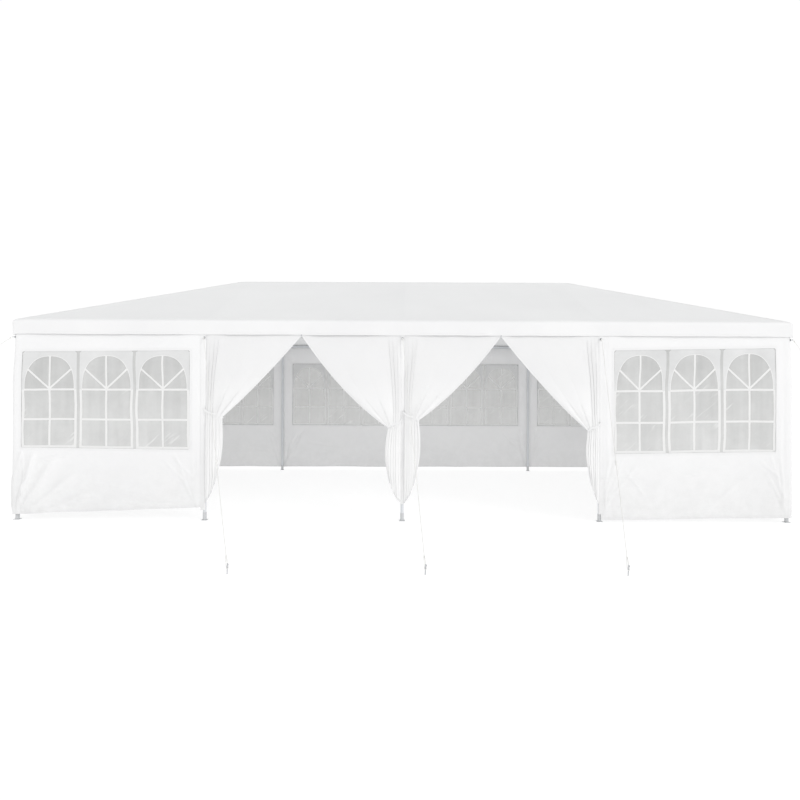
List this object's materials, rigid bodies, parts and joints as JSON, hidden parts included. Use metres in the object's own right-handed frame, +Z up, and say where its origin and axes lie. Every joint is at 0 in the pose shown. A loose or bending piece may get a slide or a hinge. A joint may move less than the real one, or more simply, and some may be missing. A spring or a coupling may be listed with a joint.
{
  "type": "marquee tent",
  "caption": "White marquee tent with a hipped roof, window walls, tied-back zip doors, a steel tube frame and guy ropes to pegs.",
  "frame": {"origin": "on the ground, under the middle of the ridge", "axes": "+X along the ridge, to the right for someone who faces the doors; +Y from the doors to the back wall; +Z up"},
  "size_m": [12.4992, 7.9358, 3.17],
  "materials": {
    "white_painted_steel": "satin",
    "white_cover_cloth": "satin",
    "white_wall_cloth": "satin",
    "clear_window_sheet": "gloss",
    "white_guy_rope": "matte"
  },
  "bodies": {
    "root": {"front_left_corner_post": "white_painted_steel", "front_left_post": "white_painted_steel", "front_middle_post": "white_painted_steel", "front_right_post": "white_painted_steel", "front_right_corner_post": "white_painted_steel", "back_left_corner_post": "white_painted_steel", "back_left_post": "white_painted_steel", "back_middle_post": "white_painted_steel", "back_right_post": "white_painted_steel", "back_right_corner_post": "white_painted_steel", "left_end_post": "white_painted_steel", "right_end_post": "white_painted_steel", "front_eave_rail": "white_painted_steel", "back_eave_rail": "white_painted_steel", "left_eave_rail": "white_painted_steel", "right_eave_rail": "white_painted_steel", "ridge_pole": "white_painted_steel", "left_rafters": "white_painted_steel", "middle_rafters": "white_painted_steel", "right_rafters": "white_painted_steel", "left_hip_rafters": "white_painted_steel", "right_hip_rafters": "white_painted_steel", "roof_cover": "white_cover_cloth", "front_left_window_wall": "white_wall_cloth", "front_right_window_wall": "white_wall_cloth", "back_wall": "white_wall_cloth", "left_end_wall": "white_wall_cloth", "right_end_wall": "white_wall_cloth", "left_door_curtain": "white_wall_cloth", "right_door_curtain": "white_wall_cloth", "front_left_window": "clear_window_sheet", "front_right_window": "clear_window_sheet", "back_windows": "clear_window_sheet", "left_end_windows": "clear_window_sheet", "right_end_windows": "clear_window_sheet", "front_left_guy_rope": "white_guy_rope", "front_middle_guy_rope": "white_guy_rope", "front_right_guy_rope": "white_guy_rope", "front_left_corner_guy_rope": "white_guy_rope", "front_right_corner_guy_rope": "white_guy_rope", "back_left_guy_rope": "white_guy_rope", "back_middle_guy_rope": "white_guy_rope", "back_right_guy_rope": "white_guy_rope", "back_left_corner_guy_rope": "white_guy_rope", "back_right_corner_guy_rope": "white_guy_rope"}
  },
  "joints": []
}
